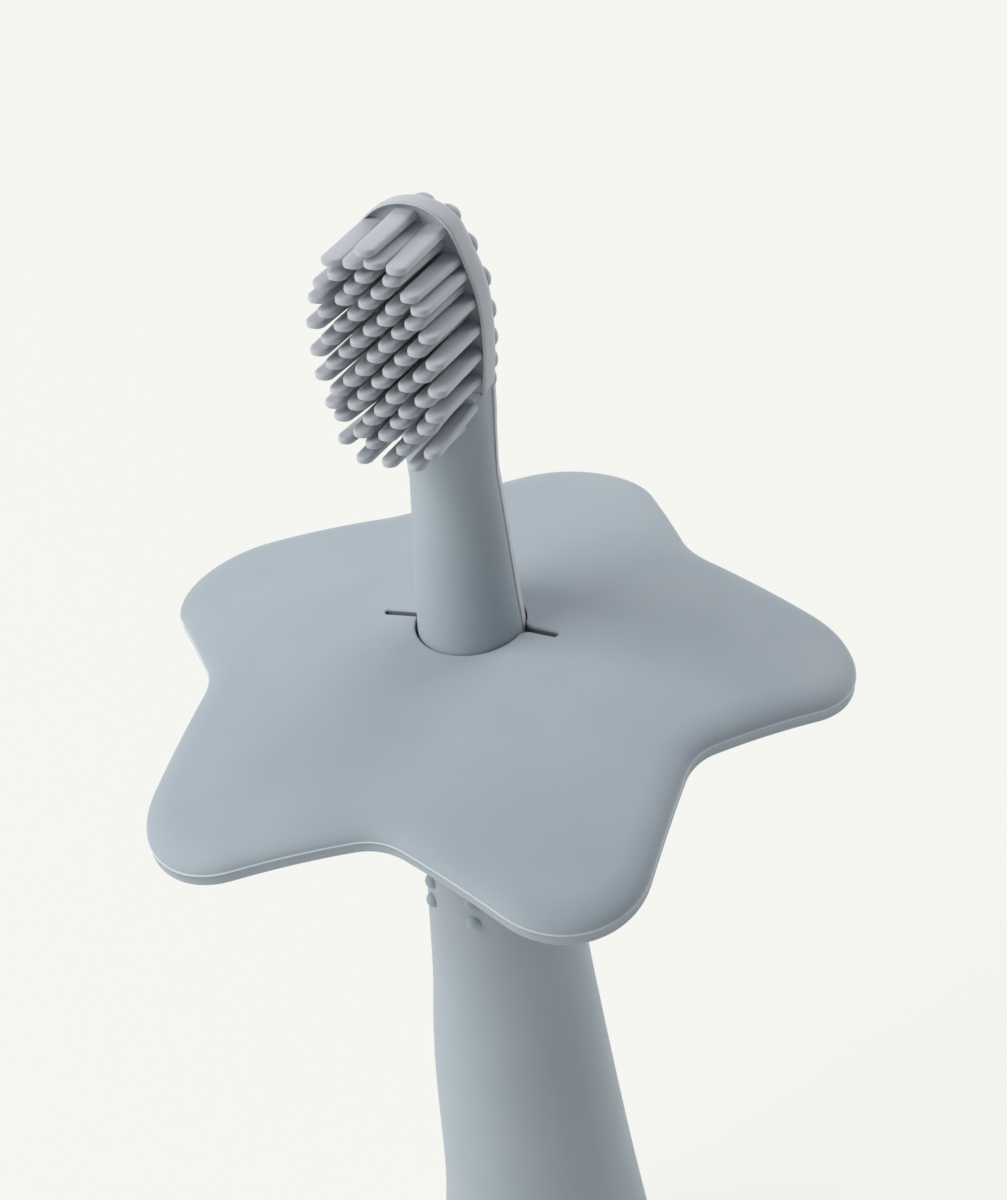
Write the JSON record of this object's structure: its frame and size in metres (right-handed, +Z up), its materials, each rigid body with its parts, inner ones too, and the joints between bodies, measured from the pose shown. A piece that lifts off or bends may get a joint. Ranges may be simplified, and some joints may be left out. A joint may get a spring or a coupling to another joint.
{
  "type": "manual toothbrush",
  "caption": "Child's soft rubber training toothbrush with a tapered handle, a head of flat tines and a removable star-shaped guard on its neck.",
  "frame": {"origin": "centre of the flat foot that the brush stands on", "axes": "+Z up along the brush from the foot to the head, -Y the front that the tines face, +X to the right seen from the front"},
  "size_m": [0.0698, 0.0686, 0.1416],
  "materials": {
    "soft_blue_grey": "matte",
    "soft_light_grey": "matte",
    "stiff_core": "matte"
  },
  "bodies": {
    "brush": {"handle": "soft_blue_grey", "bristle_head": "soft_light_grey", "core": "stiff_core"},
    "guard": {"star_guard": "soft_blue_grey"}
  },
  "joints": [
    {"name": "guard_slide", "type": "slide", "parent": "brush", "child": "guard", "axis": [0, 0, 1], "range_m": [0, 0.02]}
  ]
}
